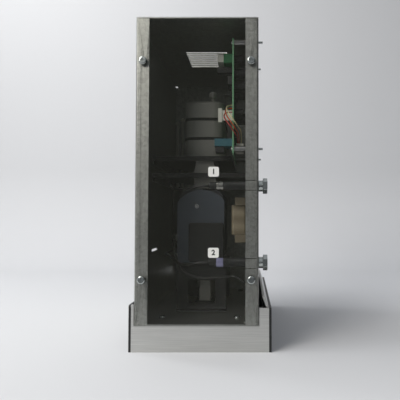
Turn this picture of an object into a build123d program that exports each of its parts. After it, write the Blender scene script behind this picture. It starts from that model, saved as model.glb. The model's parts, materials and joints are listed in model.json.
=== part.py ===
from build123d import *
import math
import os

# Bill validator, stored standing on its entry bezel.
# Millimetres. X runs across the case, Y from the clear front window to the back, Z up.
# The origin is the centre of the bezel's four mounting bolts, on the bezel's underside.

# ---- driving dimensions -------------------------------------------------------------
CASE_W = 150.0
CASE_D = 322.0
CASE_H = 376.0
CASE_Z0 = 32.0
SHEET = 1.5
FLANGE_W = 16.0
BEND_R = 2.2
WINDOW_T = 3.0
WINDOW_R = 2.0
WINDOW_SCREW_X = 66.0
WINDOW_SCREW_DZ = 133.0

BEZEL_X0 = -79.0
BEZEL_X1 = 87.5
BEZEL_Y0 = -159.0
BEZEL_Y1 = 165.0
BEZEL_T = 2.5
BEZEL_LEFT_H = 56.5
BEZEL_RIGHT_H = 53.0
SIDE_PLATE_T = 3.0
BOLT_DX = 136.0
BOLT_DY = 290.0
BOLT_R = 2.75
POST_X = 48.0
POST_Y = 120.0
POST_R = 6.0

NOTE_W = 86.0
NOTE_GAP = 5.0

HEAD_Z0 = 99.0
HEAD_Z1 = 203.0
HEAD_Y0 = -70.0
HEAD_Y1 = 70.0
HEAD_X0 = -34.0
HEAD_X1 = 27.0
PATH_HALF = 1.6
COVER_T = 3.7

SHAFT_R = 3.0
RUNNING = 0.05
CLEAR = 0.3
DRIVE_X = -9.0
DRIVE_R = 8.9
IDLER_X = 7.0
IDLER_R = 6.8
AXLE_R = 2.0
LOWER_ROLL_Z = 125.0
UPPER_ROLL_Z = 178.0
ROLLER_YS = (-30.0, 30.0)
ROLLER_L = 14.0
PULLEY_R = 9.0
BIG_PULLEY_R = 12.0
MOTOR_PULLEY_R = 6.0
MOTOR_X = -46.0
MOTOR_Z = 116.0
MOTOR_R = 11.5
BELT_T = 0.8

LOWER_SHELF_Z = 224.0
UPPER_SHELF_Z = 248.0
SHELF_Y0 = -60.0
BOX_X0 = -30.0
BOX_X1 = 27.0
BOX_Y0 = -52.0
BOX_Y1 = 60.0
BOX_Z1 = 330.0
BOX_T = 2.0

PCB_X = 41.9
PCB_T = 1.6
PCB_Y0 = -131.0
PCB_Y1 = -1.0
PCB_Z0 = 243.0
PCB_Z1 = 394.0
PCB_SCREW_YS = (-124.0, -8.0)
PCB_SCREW_ZS = (250.6, 389.6)

SENSOR_Y = -146.0
SENSOR_ZS = (106.6, 201.2)
SENSOR_R = 5.9

HALF_W = CASE_W / 2
HALF_D = CASE_D / 2
CASE_Z1 = CASE_Z0 + CASE_H
WINDOW_MID_Z = (CASE_Z0 + CASE_Z1) / 2
INNER_X = HALF_W - SHEET
INNER_Y = HALF_D - SHEET
FLOOR_Z = CASE_Z0 + SHEET
CEILING_Z = CASE_Z1 - SHEET
WINDOW_SCREW_ZS = (WINDOW_MID_Z - WINDOW_SCREW_DZ, WINDOW_MID_Z + WINDOW_SCREW_DZ)

nodes = {}


# ---- shape helpers ------------------------------------------------------------------
def block(x0, x1, y0, y1, z0, z1):
    """Box between two corners."""
    middle = Pos((x0 + x1) / 2, (y0 + y1) / 2, (z0 + z1) / 2)
    return middle * Box(x1 - x0, y1 - y0, z1 - z0)


def rod_x(radius, x0, x1, y, z):
    """Round bar along X."""
    return Pos((x0 + x1) / 2, y, z) * Rot(0, 90, 0) * Cylinder(radius, x1 - x0)


def rod_y(radius, x, y0, y1, z):
    """Round bar along Y."""
    return Pos(x, (y0 + y1) / 2, z) * Rot(90, 0, 0) * Cylinder(radius, y1 - y0)


def rod_z(radius, x, y, z0, z1):
    """Round bar along Z."""
    return Pos(x, y, (z0 + z1) / 2) * Cylinder(radius, z1 - z0)


def prism_y(outline, y0, y1):
    """Closed X-Z outline pushed along Y."""
    face = make_face(Polyline(*[(x, y0, z) for x, z in outline], close=True))
    return extrude(face, amount=y1 - y0, dir=(0, 1, 0))


def upright_edges(shape, x=None, y=None):
    """Edges along Z that lie at the given x and y."""
    edges = shape.edges().filter_by(Axis.Z)
    if x is not None:
        edges = edges.filter_by(lambda edge: abs(edge.center().X - x) < 0.01)
    if y is not None:
        edges = edges.filter_by(lambda edge: abs(edge.center().Y - y) < 0.01)
    return edges


def aim(shape, at, direction):
    """Moves a shape built up +Z to a point, with its +Z along a direction."""
    return Plane(origin=at, z_dir=direction).location * shape


def pan_screw(thread_r, length, head_r, head_h):
    """Cross-recess pan-head screw: head above z = 0, thread below."""
    head = Cylinder(head_r, head_h, align=(Align.CENTER, Align.CENTER, Align.MIN))
    head = fillet(head.edges().group_by(Axis.Z)[-1], head_h * 0.55)
    shank = Pos(0, 0, -length / 2) * Cylinder(thread_r, length)
    arm = Pos(0, 0, head_h) * Box(head_r * 1.1, head_r * 0.26, head_h * 1.1)
    return head + shank - arm - Rot(0, 0, 90) * arm


def flat_screw(thread_r, length, head_r, head_h):
    """Countersunk screw: flat head top at z = 0, everything below."""
    head = Pos(0, 0, -head_h / 2) * Cone(thread_r, head_r, head_h)
    shank = Pos(0, 0, -length / 2) * Cylinder(thread_r, length)
    arm = Box(head_r * 1.1, head_r * 0.26, head_h)
    return head + shank - arm - Rot(0, 0, 90) * arm


def hexagon(across_flats, height):
    """Hexagonal bar up +Z from z = 0."""
    return extrude(RegularPolygon(across_flats / 2, 6, major_radius=False), amount=height)


def belt_loop(first, first_r, second, second_r, between):
    """Flat belt round two pulleys whose shafts run along Y, a little narrower than their rims."""
    def hull(extra):
        circles = [CenterArc(first, first_r + extra, 0, 360), CenterArc(second, second_r + extra, 0, 360)]
        return make_hull(circles)
    ring = hull(CLEAR + BELT_T) - hull(CLEAR)
    y0, y1 = between
    flat = extrude(ring, amount=y1 - y0 - 2 * CLEAR)
    return Pos(0, y1 - CLEAR, 0) * Rot(90, 0, 0) * flat


def group(solids):
    """Several separate solids kept in one node."""
    return Compound(children=list(solids))


# ---- case ---------------------------------------------------------------------------
VENT_SLOTS = 8
VENT_PITCH = 9.5
VENT_W = 61.0
VENT_SLOT = 6.0
THROAT_X = 14.0
THROAT_Y = 50.0
RIVET_R = 3.5
PANEL_SCREW_X = 65.0
PANEL_SCREW_Y = 145.0
REAR_SCREW_ZS = (70.0, 370.0)
RETURN_X0 = 57.0
CABLE_HOLE = (-53.0, 66.0)
CABLE_HOLE_R = 6.0
RELIEF = 5.0
SIDE_SLOT_Y = (-60.0, -22.0)
SIDE_SLOT_Z = 116.0
SIDE_SLOT_R = 1.8
SENSOR_HOLE_R = 6.2
TAB_SLIT = 0.8
TAB_HALF = 6.0
VENT_CORNER_R = 1.2
THROAT_PLAY = 0.5
M3_R = 1.5
M4_R = 2.0
M4_CLEAR_R = 2.2
M5_R = 2.5
RETURN_NOTCH = 8.0
WINDOW_INSET = 0.4
LABEL_X = (14.0, 27.0)
LABEL_ZS = (217.3, 119.7)
LABEL_HALF = 6.0
LABEL_T = 0.3
LABEL_R = 2.2
RIVET_BULGE = 1.2
RIVET_L = 10.0


def make_case():
    outer = block(-HALF_W, HALF_W, -HALF_D, HALF_D, CASE_Z0, CASE_Z1)
    outer = fillet(upright_edges(outer, x=-HALF_W), BEND_R)
    inner = block(-INNER_X, HALF_W + 1, -INNER_Y, INNER_Y, FLOOR_Z, CEILING_Z)
    inner = fillet(upright_edges(inner, x=-INNER_X), BEND_R - SHEET)
    mouth = block(-HALF_W + FLANGE_W, HALF_W + 1, -HALF_D - 1, 0, FLOOR_Z, CEILING_Z)
    shell = outer - inner - mouth
    first = -VENT_PITCH * (VENT_SLOTS - 1) / 2
    for i in range(VENT_SLOTS):
        y = first + i * VENT_PITCH
        half = VENT_SLOT / 2
        slot = block(-VENT_W / 2, VENT_W / 2, y - half, y + half, CEILING_Z - 1, CASE_Z1 + 1)
        shell -= fillet(upright_edges(slot), VENT_CORNER_R)
    hole_x = THROAT_X + THROAT_PLAY
    hole_y = THROAT_Y + THROAT_PLAY
    shell -= block(-hole_x, hole_x, -hole_y, hole_y, CASE_Z0 - 1, FLOOR_Z + 1)
    for x in (-POST_X, POST_X):
        for y in (-POST_Y, POST_Y):
            shell -= rod_z(M4_R, x, y, CASE_Z0 - 1, FLOOR_Z + 1)
    for y in (-PANEL_SCREW_Y, PANEL_SCREW_Y):
        shell -= rod_z(M4_CLEAR_R, PANEL_SCREW_X, y, CASE_Z0 - 1, FLOOR_Z + 1)
        shell -= rod_z(M4_CLEAR_R, PANEL_SCREW_X, y, CEILING_Z - 1, CASE_Z1 + 1)
    for z in REAR_SCREW_ZS:
        shell -= rod_y(M4_CLEAR_R, PANEL_SCREW_X, INNER_Y - 1, HALF_D + 1, z)
    for z in WINDOW_SCREW_ZS:
        shell -= rod_y(RIVET_R, -WINDOW_SCREW_X, -HALF_D - 1, -INNER_Y + 1, z)
    shell -= rod_y(CABLE_HOLE_R, CABLE_HOLE[0], INNER_Y - 1, HALF_D + 1, CABLE_HOLE[1])
    for z in (CASE_Z0, CASE_Z1):
        shell -= block(-HALF_W - 1, -HALF_W + RELIEF, HALF_D - RELIEF, HALF_D + 1,
                       z - RELIEF / 2, z + RELIEF / 2)
    y0, y1 = SIDE_SLOT_Y
    shell -= block(-HALF_W - 1, -INNER_X + 1, y0, y1,
                   SIDE_SLOT_Z - SIDE_SLOT_R, SIDE_SLOT_Z + SIDE_SLOT_R)
    for y in SIDE_SLOT_Y:
        shell -= rod_x(SIDE_SLOT_R, -HALF_W - 1, -INNER_X + 1, y, SIDE_SLOT_Z)
    return shell


def make_side_panel():
    outer = block(RETURN_X0, HALF_W, -HALF_D, INNER_Y, FLOOR_Z, CEILING_Z)
    outer = fillet(upright_edges(outer, x=HALF_W, y=-HALF_D), BEND_R)
    hollow = block(RETURN_X0 - 1, INNER_X, -INNER_Y, INNER_Y - SHEET,
                   FLOOR_Z + SHEET, CEILING_Z - SHEET)
    hollow = fillet(upright_edges(hollow, x=INNER_X, y=-INNER_Y), BEND_R - SHEET)
    panel = outer - hollow
    panel -= block(RETURN_X0 - 1, HALF_W - FLANGE_W, -HALF_D - 1, -INNER_Y, 0, CASE_Z1 + 1)
    for z0, z1 in ((FLOOR_Z - 1, FLOOR_Z + SHEET), (CEILING_Z - SHEET, CEILING_Z + 1)):
        panel -= block(RETURN_X0 - 1, INNER_X, -INNER_Y, -INNER_Y + RETURN_NOTCH, z0, z1)
        panel -= block(RETURN_X0 - 1, INNER_X, INNER_Y - RETURN_NOTCH, INNER_Y + 1, z0, z1)
    for y in PCB_SCREW_YS:
        for z in PCB_SCREW_ZS:
            panel -= rod_x(M3_R, INNER_X - 1, HALF_W + 1, y, z)
    for z in SENSOR_ZS:
        panel -= rod_x(SENSOR_HOLE_R, INNER_X - 1, HALF_W + 1, SENSOR_Y, z)
        for dz in (-TAB_HALF, TAB_HALF):
            panel -= block(HALF_W - FLANGE_W - 1, INNER_X - 1, -HALF_D - 1, -INNER_Y + 0.1,
                           z + dz - TAB_SLIT / 2, z + dz + TAB_SLIT / 2)
    for z in WINDOW_SCREW_ZS:
        panel -= rod_y(RIVET_R, WINDOW_SCREW_X, -HALF_D - 1, -INNER_Y + 1, z)
    for y in (-PANEL_SCREW_Y, PANEL_SCREW_Y):
        panel -= rod_z(M4_R, PANEL_SCREW_X, y, FLOOR_Z - 1, FLOOR_Z + SHEET + 1)
        panel -= rod_z(M4_R, PANEL_SCREW_X, y, CEILING_Z - SHEET - 1, CEILING_Z + 1)
    for z in REAR_SCREW_ZS:
        panel -= rod_y(M4_R, PANEL_SCREW_X, INNER_Y - SHEET - 1, INNER_Y + 1, z)
    return panel


def make_window():
    half_w = HALF_W - WINDOW_INSET
    sheet = block(-half_w, half_w, -HALF_D - WINDOW_T, -HALF_D,
                  CASE_Z0 + WINDOW_INSET, CASE_Z1 - WINDOW_INSET)
    corners = sheet.edges().filter_by(Axis.Y)
    sheet = fillet(corners, WINDOW_R)
    for x in (-WINDOW_SCREW_X, WINDOW_SCREW_X):
        for z in WINDOW_SCREW_ZS:
            sheet -= rod_y(M5_R, x, -HALF_D - WINDOW_T - 1, -HALF_D + 1, z)
    return sheet


def window_fixings():
    """Four M5 screws from the front and the rivet nuts that they pull on."""
    screws = []
    nuts = []
    for x in (-WINDOW_SCREW_X, WINDOW_SCREW_X):
        for z in WINDOW_SCREW_ZS:
            screw = pan_screw(M5_R, 12.0, 5.0, 3.0)
            screws.append(aim(screw, (x, -HALF_D - WINDOW_T, z), (0, -1, 0)))
            sleeve = rod_y(RIVET_R, x, -HALF_D, -HALF_D + RIVET_L, z)
            bulge = rod_y(RIVET_R + RIVET_BULGE, x, -INNER_Y, -INNER_Y + 3.0, z)
            bore = rod_y(M5_R, x, -HALF_D - 1, -HALF_D + RIVET_L + 1, z)
            nuts.append(sleeve + bulge - bore)
    return group(screws), group(nuts)


def panel_fixings():
    """Six M4 screws that hold the right side panel to the case."""
    screw = pan_screw(2.0, 7.0, 4.0, 3.2)
    screws = []
    for y in (-PANEL_SCREW_Y, PANEL_SCREW_Y):
        screws.append(aim(screw, (PANEL_SCREW_X, y, CASE_Z1), (0, 0, 1)))
        screws.append(aim(screw, (PANEL_SCREW_X, y, CASE_Z0), (0, 0, -1)))
    for z in REAR_SCREW_ZS:
        screws.append(aim(screw, (PANEL_SCREW_X, HALF_D, z), (0, 1, 0)))
    return group(screws)


def window_labels():
    """Two blank stickers beside the side sensors."""
    labels = []
    front = -HALF_D - WINDOW_T
    for z in LABEL_ZS:
        label = block(*LABEL_X, front - LABEL_T, front, z - LABEL_HALF, z + LABEL_HALF)
        labels.append(fillet(label.edges().filter_by(Axis.Y), LABEL_R))
    return group(labels)


def case_plates():
    """The case as four welded plates: left side with its front flange, rear, top and floor."""
    shell = make_case()
    corner_x = -HALF_W + BEND_R
    far = CASE_W
    walls = shell & block(-far, far, -CASE_D, CASE_D, FLOOR_Z, CEILING_Z)
    rear = walls & block(corner_x, far, 0, CASE_D, FLOOR_Z, CEILING_Z)
    top = shell & block(-far, far, -CASE_D, CASE_D, CEILING_Z, CASE_Z1 + 1)
    floor = shell & block(-far, far, -CASE_D, CASE_D, CASE_Z0 - 1, FLOOR_Z)
    return walls - rear, rear, top, floor


nodes["case_left_side"], nodes["case_rear_wall"], nodes["case_top"], nodes["case_floor"] = case_plates()
nodes["right_side_panel"] = make_side_panel()
nodes["window_cover"] = make_window()
nodes["window_screws"], nodes["window_rivet_nuts"] = window_fixings()
nodes["panel_screws"] = panel_fixings()
nodes["window_labels"] = window_labels()

# ---- entry bezel --------------------------------------------------------------------
NOTCH_GAP = 0.8
SIDE_FLANGE_H = 14.0
SIDE_SCREW_Z = 8.5
SIDE_SCREW_YS = (-120.0, 0.0, 120.0)
SLOT_MOUTH_X = 8.0


def make_bezel_tray():
    outer = block(BEZEL_X0, BEZEL_X1, BEZEL_Y0, BEZEL_Y1, 0, BEZEL_LEFT_H)
    hollow = block(BEZEL_X0 + BEZEL_T, BEZEL_X1 - BEZEL_T, BEZEL_Y0 + BEZEL_T,
                   BEZEL_Y1 - BEZEL_T, BEZEL_T, BEZEL_LEFT_H + 1)
    tray = outer - hollow
    tray -= block(BEZEL_X0 - 1, BEZEL_X1 + 1, BEZEL_Y0 + BEZEL_T + 2, BEZEL_Y1 - BEZEL_T - 2,
                  SIDE_FLANGE_H, BEZEL_LEFT_H + 1)
    tray -= block(HALF_W, BEZEL_X1 + 1, BEZEL_Y0 - 1, BEZEL_Y1 + 1, BEZEL_RIGHT_H, BEZEL_LEFT_H + 1)
    notch_x = HALF_W + NOTCH_GAP
    tray -= block(-notch_x, notch_x, BEZEL_Y0 - 1, BEZEL_Y0 + BEZEL_T + 3,
                  CASE_Z0 - NOTCH_GAP, BEZEL_LEFT_H + 1)
    tray -= block(-SLOT_MOUTH_X / 2, SLOT_MOUTH_X / 2, -NOTE_W / 2, NOTE_W / 2, -1, BEZEL_T + 1)
    for x in (-BOLT_DX / 2, BOLT_DX / 2):
        for y in (-BOLT_DY / 2, BOLT_DY / 2):
            tray -= rod_z(BOLT_R, x, y, -1, BEZEL_T + 1)
    sink = Pos(0, 0, BEZEL_T / 2) * Cone(4.25, 2.0, BEZEL_T)
    for x in (-POST_X, POST_X):
        for y in (-POST_Y, POST_Y):
            tray -= Pos(x, y, 0) * sink
    for y in SIDE_SCREW_YS:
        tray -= rod_x(1.5, BEZEL_X0 - 1, BEZEL_X0 + BEZEL_T + 1, y, SIDE_SCREW_Z)
        tray -= rod_x(1.5, BEZEL_X1 - BEZEL_T - 1, BEZEL_X1 + 1, y, SIDE_SCREW_Z)
    return tray


def make_bezel_side(x0, x1, height):
    plate = block(x0, x1, BEZEL_Y0, BEZEL_Y1, 0, height)
    plate = fillet(plate.edges().filter_by(Axis.X).group_by(Axis.Z)[-1], 3.0)
    for y in SIDE_SCREW_YS:
        plate -= rod_x(1.6, x0 - 1, x1 + 1, y, SIDE_SCREW_Z)
    return plate


def make_locating_strip():
    """Bent strip on the right side plate that leans in over the edge of the case."""
    foot_x = BEZEL_X1 - 0.2
    t = 3.0
    outline = [
        (foot_x - t, 40.0),
        (foot_x, 40.0),
        (foot_x, 53.6),
        (82.4, 67.6),
        (79.4, 66.3),
        (foot_x - t, 52.6),
    ]
    return prism_y(outline, BEZEL_Y0 + BEZEL_T + 2.5, BEZEL_Y1 - BEZEL_T - 2.5)


def base_fixings():
    """Posts that carry the case above the tray, and all the screws of the base."""
    posts = []
    screws = []
    for x in (-POST_X, POST_X):
        for y in (-POST_Y, POST_Y):
            post = extrude(RegularPolygon(POST_R, 6, major_radius=False), amount=CASE_Z0 - BEZEL_T)
            post = Pos(x, y, BEZEL_T) * post
            posts.append(post - rod_z(2.0, x, y, 0, CASE_Z0 + 1))
            screws.append(aim(flat_screw(2.0, 12.0, 4.0, 2.2), (x, y, 0), (0, 0, -1)))
            screws.append(aim(pan_screw(2.0, 10.0, 4.0, 2.8), (x, y, FLOOR_Z), (0, 0, 1)))
    for y in SIDE_SCREW_YS:
        screw = pan_screw(1.5, SIDE_PLATE_T + BEZEL_T, 2.8, 1.8)
        screws.append(aim(screw, (BEZEL_X0 - SIDE_PLATE_T, y, SIDE_SCREW_Z), (-1, 0, 0)))
        screws.append(aim(screw, (BEZEL_X1 + SIDE_PLATE_T, y, SIDE_SCREW_Z), (1, 0, 0)))
    return group(posts), group(screws)


nodes["bezel_tray"] = make_bezel_tray()
nodes["bezel_side_plates"] = group([
    make_bezel_side(BEZEL_X0 - SIDE_PLATE_T, BEZEL_X0, BEZEL_LEFT_H),
    make_bezel_side(BEZEL_X1, BEZEL_X1 + SIDE_PLATE_T, BEZEL_RIGHT_H),
])
nodes["locating_strip"] = make_locating_strip()
nodes["support_posts"], nodes["base_screws"] = base_fixings()

# ---- note entry and shutter ---------------------------------------------------------
THROAT_Z1 = 44.0
FLARE_Z0 = 5.0
FLARE_Z1 = 13.0
GATE_Z = 15.0
GATE_T = 1.5
GATE_HALF_Y = 44.0
GATE_TIP_X = -3.0
GATE_TAB_X = -22.0
GATE_TAB_Y = 8.0
GATE_TAB_H = 9.0
GATE_WAIST_X = -16.0
GATE_WAIST_Y = 12.0
GATE_TRAVEL = 6.5
GATE_PLAY = 0.4
SOLENOID_X0 = -60.0
SOLENOID_X1 = -31.0
PLUNGER_R = 4.0
PLUNGER_IN = 14.0
PLUNGER_Z = GATE_Z + GATE_T + 3.5
LINK_R = 2.0
YOKE_HALF_Y = 11.0
YOKE_T = 2.0
YOKE_TOP_Z = PLUNGER_Z + 9.0
COIL_R = 6.8
GUIDE_X = 8.0
GUIDE_Y = 47.0
STAND_X0 = -38.0
STAND_X1 = 31.0
STAND_Y = 64.0
STAND_FOOT = 12.0
STAND_WINDOW_X = (-22.0, 16.0)


def make_throat():
    throat = block(-THROAT_X, THROAT_X, -THROAT_Y, THROAT_Y, BEZEL_T, THROAT_Z1)
    mouth = SLOT_MOUTH_X / 2
    slot = [
        (-mouth, 0),
        (mouth, 0),
        (mouth, FLARE_Z0),
        (NOTE_GAP / 2, FLARE_Z1),
        (NOTE_GAP / 2, THROAT_Z1 + 1),
        (-NOTE_GAP / 2, THROAT_Z1 + 1),
        (-NOTE_GAP / 2, FLARE_Z1),
        (-mouth, FLARE_Z0),
    ]
    throat -= prism_y(slot, -NOTE_W / 2, NOTE_W / 2)
    slide_y = GATE_HALF_Y + GATE_PLAY
    throat -= block(-THROAT_X - 1, GATE_TIP_X + GATE_TRAVEL + 1.0, -slide_y, slide_y,
                    GATE_Z - GATE_PLAY, GATE_Z + GATE_T + GATE_PLAY)
    return throat


def make_gate():
    plate = block(GATE_TAB_X, GATE_TIP_X, -GATE_HALF_Y, GATE_HALF_Y, GATE_Z, GATE_Z + GATE_T)
    for side in (-1, 1):
        shoulder_ys = sorted((side * GATE_WAIST_Y, side * (GATE_HALF_Y + 1)))
        plate -= block(GATE_TAB_X - 1, GATE_WAIST_X, *shoulder_ys, 0, GATE_Z + GATE_T + 1)
    tab = block(GATE_TAB_X - GATE_T, GATE_TAB_X, -GATE_TAB_Y, GATE_TAB_Y, GATE_Z, GATE_Z + GATE_TAB_H)
    return plate + tab - rod_x(LINK_R, GATE_TAB_X - 3, GATE_TAB_X + 1, 0, PLUNGER_Z)


def make_solenoid():
    well_x0 = SOLENOID_X0 + YOKE_T
    well_x1 = SOLENOID_X1 - YOKE_T
    yoke = block(SOLENOID_X0, SOLENOID_X1, -YOKE_HALF_Y, YOKE_HALF_Y, BEZEL_T, YOKE_TOP_Z)
    well = block(well_x0, well_x1, -YOKE_HALF_Y - 1, YOKE_HALF_Y + 1,
                 BEZEL_T + YOKE_T, YOKE_TOP_Z - YOKE_T)
    coil = rod_x(COIL_R, well_x0, well_x1, 0, PLUNGER_Z)
    shell = yoke - well + coil
    return shell - rod_x(PLUNGER_R + CLEAR, SOLENOID_X0 + 6, SOLENOID_X1 + 1, 0, PLUNGER_Z)


def make_plunger():
    bar = rod_x(PLUNGER_R, SOLENOID_X1 - PLUNGER_IN, GATE_TAB_X - GATE_T, 0, PLUNGER_Z)
    return bar + rod_x(LINK_R, GATE_TAB_X - GATE_T - 1, GATE_TAB_X + 1.0, 0, PLUNGER_Z)


def make_entry_guide():
    """Duct that carries the note from the throat up to the scan head."""
    z0 = THROAT_Z1
    z1 = HEAD_Z0
    duct = block(-GUIDE_X, GUIDE_X, -GUIDE_Y, GUIDE_Y, z0, z1)
    return duct - block(-NOTE_GAP / 2, NOTE_GAP / 2, -NOTE_W / 2, NOTE_W / 2, z0 - 1, z1 + 1)


def make_head_stand():
    """Folded bridge from the case floor that carries the scan head."""
    t = SHEET
    z1 = HEAD_Z0
    hole_x = GUIDE_X + THROAT_PLAY
    hole_y = GUIDE_Y + THROAT_PLAY
    bridge = block(STAND_X0, STAND_X1, -STAND_Y, STAND_Y, FLOOR_Z, z1)
    bridge -= block(STAND_X0 - 1, STAND_X1 + 1, -STAND_Y + t, STAND_Y - t, FLOOR_Z - 1, z1 - t)
    bridge -= block(*STAND_WINDOW_X, -STAND_Y - 1, STAND_Y + 1, FLOOR_Z + 10, z1 - 24)
    bridge -= block(-hole_x, hole_x, -hole_y, hole_y, z1 - t - 1, z1 + 1)
    for side in (-1, 1):
        foot_ys = sorted((side * STAND_Y, side * (STAND_Y + STAND_FOOT)))
        bridge += block(STAND_X0, STAND_X1, *foot_ys, FLOOR_Z, FLOOR_Z + t)
    return bridge


nodes["slot_throat"] = make_throat()
nodes["shutter_gate"] = make_gate()
nodes["shutter_solenoid"] = make_solenoid()
nodes["solenoid_plunger"] = make_plunger()
nodes["entry_guide"] = make_entry_guide()
nodes["head_stand"] = make_head_stand()

# ---- scan head ----------------------------------------------------------------------
COVER_Y0 = HEAD_Y0 - COVER_T
BACK_T = 4.0
BACK_Y1 = HEAD_Y1 + BACK_T
DOOR_Z0 = HEAD_Z0 + 1.0
DOOR_Z1 = HEAD_Z1 - 3.0
DOOR_PIN_X = 6.0
DOOR_PIN_Z = HEAD_Z0 + 5.0
LENS_Z = (141.0, 162.0)
LENS_DEPTH = 2.0
FRAME_R = 16.0
DOOR_R = 10.0
DOOR_POCKET_YS = (-44.0, 0.0, 44.0)
DOOR_POCKET_HALF = 14.0
ROLLER_GAP = 0.8
ROLLER_END_GAP = 1.0
AXLE_INSET = 12.0
MOTOR_L = 46.0
MOTOR_BOSS_R = 4.0
MOTOR_SHAFT_R = 1.5
FIRST_BELT_Y = (77.0, 82.0)
SECOND_BELT_Y = (85.0, 90.0)


def make_head_frame():
    """Left half of the head: the fixed side of the note path."""
    body = block(HEAD_X0, -PATH_HALF, HEAD_Y0, HEAD_Y1, HEAD_Z0, HEAD_Z1)
    body = fillet(body.edges().filter_by(Axis.Y).sort_by(lambda e: e.center().X - e.center().Z)[0], FRAME_R)
    body -= block(HEAD_X0 - 1, HEAD_X0 + 12, HEAD_Y0 + 12, HEAD_Y1 - 12, HEAD_Z0 + 22, HEAD_Z0 + 70)
    for z in (LOWER_ROLL_Z, UPPER_ROLL_Z):
        body -= rod_y(SHAFT_R + 0.4, DRIVE_X, HEAD_Y0 - 1, HEAD_Y1 + 1, z)
        for y in ROLLER_YS:
            half = ROLLER_L / 2 + ROLLER_END_GAP
            body -= rod_y(DRIVE_R + ROLLER_GAP, DRIVE_X, y - half, y + half, z)
    body -= block(-PATH_HALF - LENS_DEPTH, 0, -NOTE_W / 2, NOTE_W / 2, *LENS_Z)
    return body


def make_head_door():
    """Right half of the head, which swings away to clear a jam."""
    body = block(PATH_HALF, HEAD_X1, HEAD_Y0 + 0.6, HEAD_Y1 - 0.6, DOOR_Z0, DOOR_Z1)
    body = fillet(body.edges().filter_by(Axis.Y).sort_by(lambda e: e.center().X + e.center().Z)[-1], DOOR_R)
    body = chamfer(body.edges().filter_by(Axis.Y).sort_by(lambda e: e.center().X + e.center().Z)[0], 1.0)
    swing = [(DOOR_PIN_X + 1, DOOR_Z0 - 1), (HEAD_X1 + 1, DOOR_Z0 - 1), (HEAD_X1 + 1, DOOR_Z0 + 7)]
    body -= prism_y(swing, HEAD_Y0, HEAD_Y1)
    for y in DOOR_POCKET_YS:
        body -= block(HEAD_X1 - 9, HEAD_X1 + 1, y - DOOR_POCKET_HALF, y + DOOR_POCKET_HALF,
                      DOOR_Z0 + 12, DOOR_Z1 - 16)
    body -= rod_y(AXLE_R + RUNNING, DOOR_PIN_X, HEAD_Y0 - 1, HEAD_Y1 + 1, DOOR_PIN_Z)
    for z in (LOWER_ROLL_Z, UPPER_ROLL_Z):
        body -= rod_y(AXLE_R, IDLER_X, HEAD_Y0 + AXLE_INSET, HEAD_Y1 - AXLE_INSET, z)
        for y in ROLLER_YS:
            half = ROLLER_L / 2 + ROLLER_END_GAP
            body -= rod_y(IDLER_R + ROLLER_GAP, IDLER_X, y - half, y + half, z)
    return body


def plate_bores(plate, y0, y1):
    """Bearing and pin holes that the front and back plates share."""
    for z in (LOWER_ROLL_Z, UPPER_ROLL_Z):
        plate -= rod_y(SHAFT_R + RUNNING, DRIVE_X, y0 - 1, y1 + 1, z)
    return plate - rod_y(AXLE_R, DOOR_PIN_X, y0 - 1, y1 + 1, DOOR_PIN_Z)


def make_head_cover():
    """Moulded front plate of the head, with a domed top and a raised lower panel."""
    left = HEAD_X0 - 2.0
    right = HEAD_X1 + 2.0
    top = HEAD_Z1 - 2.0
    face = make_face(
        Curve()
        + [
            Line((left, HEAD_Z0 + 1), (right, HEAD_Z0 + 1)),
            Line((right, HEAD_Z0 + 1), (right, top - 15)),
            ThreePointArc((right, top - 15), (6.0, top - 1.0), (left, top - 18)),
            Line((left, top - 18), (left, HEAD_Z0 + 1)),
        ]
    )
    plate = Pos(0, HEAD_Y0, 0) * Rot(90, 0, 0) * extrude(face, amount=COVER_T)
    return plate_bores(plate, COVER_Y0, HEAD_Y0)


def make_lower_panel():
    """Black pressed panel on the lower half of the head's front."""
    y1 = COVER_Y0
    panel = block(HEAD_X0 + 14, HEAD_X1 + 1.5, y1 - 5.0, y1, HEAD_Z0 + 2, HEAD_Z0 + 56)
    panel = fillet(panel.edges().filter_by(Axis.Y), 4.0)
    panel = fillet(panel.edges().group_by(Axis.Y)[0], 1.5)
    for z in (LOWER_ROLL_Z, UPPER_ROLL_Z):
        panel -= rod_y(SHAFT_R + 1.5, DRIVE_X, y1 - 2.5, y1 + 1, z)
    return panel - rod_y(AXLE_R + 1.0, DOOR_PIN_X, y1 - 2.5, y1 + 1, DOOR_PIN_Z)


def make_back_plate():
    """Steel plate behind the head that holds the shafts and the motor."""
    plate = block(-60.0, HEAD_X1, HEAD_Y1, BACK_Y1, HEAD_Z0, HEAD_Z1 - 4)
    plate -= block(-61.0, HEAD_X0 - 2, HEAD_Y1 - 1, BACK_Y1 + 1, MOTOR_Z + 18, HEAD_Z1)
    plate -= rod_y(4.5, MOTOR_X, HEAD_Y1 - 1, BACK_Y1 + 1, MOTOR_Z)
    return plate_bores(plate, HEAD_Y1, BACK_Y1)


def make_drive_shaft(z, pulleys):
    """Steel shaft with its belt pulleys."""
    shaft = rod_y(SHAFT_R, DRIVE_X, COVER_Y0 - 1.0, SECOND_BELT_Y[1] + 3.0, z)
    for radius, (y0, y1) in pulleys:
        shaft += rod_y(radius, DRIVE_X, y0, y1, z)
        for edge in (y0 - 1.0, y1):
            shaft += rod_y(radius + 0.9 + CLEAR, DRIVE_X, edge, edge + 0.7, z)
    return shaft


def make_rollers(x, z, radius, bore):
    """A pair of tyres on one shaft."""
    solids = []
    for y in ROLLER_YS:
        half = ROLLER_L / 2
        tyre = rod_y(radius, x, y - half, y + half, z)
        tyre = chamfer(tyre.edges().filter_by(GeomType.CIRCLE), 0.6)
        solids.append(tyre - rod_y(bore, x, y - half - 1, y + half + 1, z))
    return group(solids)


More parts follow.
